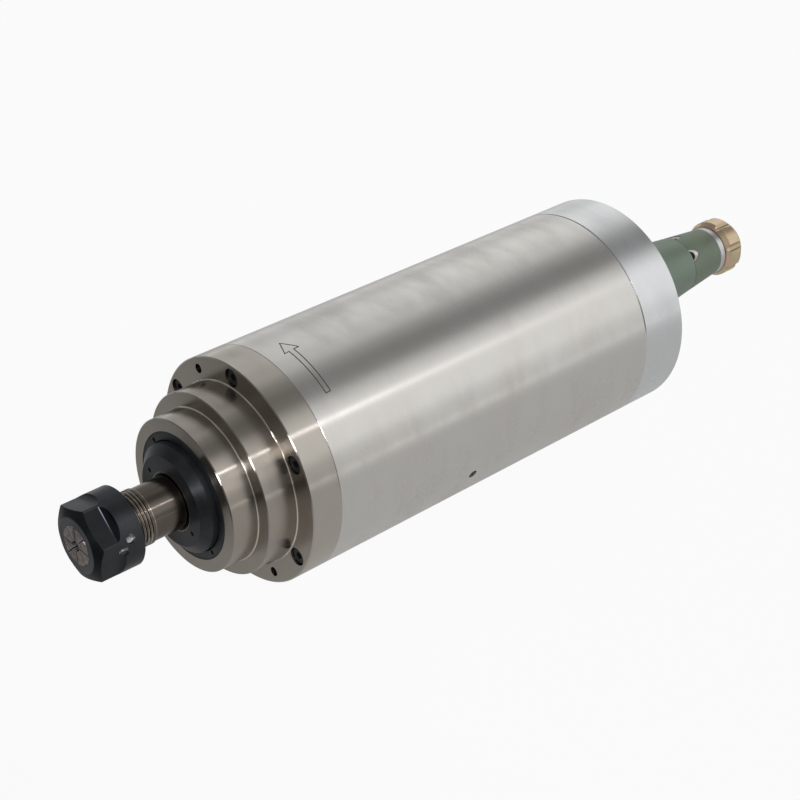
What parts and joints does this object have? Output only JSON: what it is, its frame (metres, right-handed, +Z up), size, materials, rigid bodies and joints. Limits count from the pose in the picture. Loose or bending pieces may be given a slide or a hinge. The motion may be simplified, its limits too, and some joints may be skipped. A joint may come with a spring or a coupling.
{
  "type": "motor spindle",
  "caption": "Water-cooled motor spindle with a round body, stepped nose, taper shaft, collet and nut, and a circular connector at the rear.",
  "frame": {"origin": "on the shaft's axis, at the front face of the flange", "axes": "+X along the shaft from the nose to the rear cap, +Z up, +Y to the left seen from the nose"},
  "size_m": [0.3574, 0.1, 0.1],
  "materials": {
    "nose_steel": "turned steel, warm",
    "screw_steel": "dark cap screws",
    "black_oxide": "satin black oxide on steel",
    "body_steel": "ground stainless steel",
    "cap_aluminium": "turned aluminium",
    "jacket_aluminium": "machined aluminium",
    "bearing_steel": "ground bearing steel",
    "cage_plastic": "brown phenolic",
    "seal_rubber": "black nitrile rubber",
    "lamination_steel": "stacked electrical steel",
    "copper": "enamelled copper wire",
    "lead_sleeve": "insulated leads",
    "shaft_steel": "ground and polished steel",
    "collet_steel": "hardened spring steel, slightly browned",
    "nipple_brass": "turned brass",
    "socket_steel": "plated steel",
    "insulator": "black moulded plastic",
    "contact_brass": "gilt contacts",
    "green_shell": "satin olive green plating",
    "pale_washer": "pale lilac white plastic",
    "yellow_zinc": "yellow passivated plating, slightly iridescent"
  },
  "bodies": {
    "housing": {"front_bearing_housing": "nose_steel", "flange_screws": "screw_steel", "rear_cap_screws": "screw_steel", "body_set_screw": "screw_steel", "front_lock_ring": "black_oxide", "body_tube": "body_steel", "rear_cap": "cap_aluminium", "water_jacket": "jacket_aluminium", "rear_bearing_housing": "jacket_aluminium", "front_bearing_outer_rings": "bearing_steel", "rear_bearing_outer_rings": "bearing_steel", "preload_spring": "bearing_steel", "front_outer_spacer": "bearing_steel", "jacket_seals": "seal_rubber", "nipple_seals": "seal_rubber", "stator_core": "lamination_steel", "stator_windings": "copper", "motor_leads": "lead_sleeve", "water_nipples": "nipple_brass", "connector_socket": "socket_steel", "socket_insulator": "insulator", "socket_pins": "contact_brass"},
    "rotor": {"spindle_shaft": "shaft_steel", "flinger_disc": "black_oxide", "rotor_core": "lamination_steel", "rotor_cage": "jacket_aluminium", "front_bearing_inner_rings": "bearing_steel", "front_inner_spacer": "bearing_steel", "rear_bearing_inner_rings": "bearing_steel", "rear_shaft_nut": "bearing_steel"},
    "front_cages": {"front_bearing_cages": "cage_plastic", "front_bearing_balls": "bearing_steel"},
    "rear_cages": {"rear_bearing_cages": "cage_plastic", "rear_bearing_balls": "bearing_steel"},
    "collet_carrier": {"collet": "collet_steel"},
    "nut": {"collet_nut": "black_oxide"},
    "plug": {"plug_shell": "green_shell", "plug_insulator": "insulator", "plug_contacts": "contact_brass", "cable_grommet": "seal_rubber"},
    "coupling": {"coupling_ring": "green_shell"},
    "gland": {"gland_washer": "pale_washer"},
    "clamp": {"cable_clamp_nut": "yellow_zinc"}
  },
  "joints": [
    {"name": "shaft_spin", "type": "hinge", "parent": "housing", "child": "rotor", "pos_m": [0, 0, 0], "axis": [1, 0, 0], "continuous": true},
    {"name": "front_cage_spin", "type": "hinge", "parent": "housing", "child": "front_cages", "pos_m": [0, 0, 0], "axis": [1, 0, 0], "continuous": true},
    {"name": "rear_cage_spin", "type": "hinge", "parent": "housing", "child": "rear_cages", "pos_m": [0.18, 0, 0], "axis": [1, 0, 0], "continuous": true},
    {"name": "collet_slide", "type": "slide", "parent": "rotor", "child": "collet_carrier", "axis": [-1, 0, 0], "range_m": [0, 0.0135]},
    {"name": "nut_turn", "type": "hinge", "parent": "collet_carrier", "child": "nut", "pos_m": [-0.06, 0, 0], "axis": [-1, 0, 0], "range_deg": [0, 3241]},
    {"name": "plug_slide", "type": "slide", "parent": "housing", "child": "plug", "axis": [1, 0, 0], "range_m": [0, 0.015]},
    {"name": "coupling_turn", "type": "hinge", "parent": "plug", "child": "coupling", "pos_m": [0.23, -0.02199, 0.01845], "axis": [1, 0, 0], "range_deg": [0, 3601]},
    {"name": "gland_slide", "type": "slide", "parent": "plug", "child": "gland", "axis": [1, 0, 0], "range_m": [0, 0.007]},
    {"name": "clamp_turn", "type": "hinge", "parent": "gland", "child": "clamp", "pos_m": [0.27, -0.02199, 0.01845], "axis": [1, 0, 0], "range_deg": [0, 2521]}
  ],
  "couplings": [
    {"joint": "front_cage_spin", "follows": "shaft_spin", "ratio": 0.4114},
    {"joint": "rear_cage_spin", "follows": "shaft_spin", "ratio": 0.4034},
    {"joint": "nut_turn", "follows": "collet_slide", "rad_per_m": 4188.8},
    {"joint": "coupling_turn", "follows": "plug_slide", "rad_per_m": 4188.8},
    {"joint": "clamp_turn", "follows": "gland_slide", "rad_per_m": 6283.2}
  ]
}
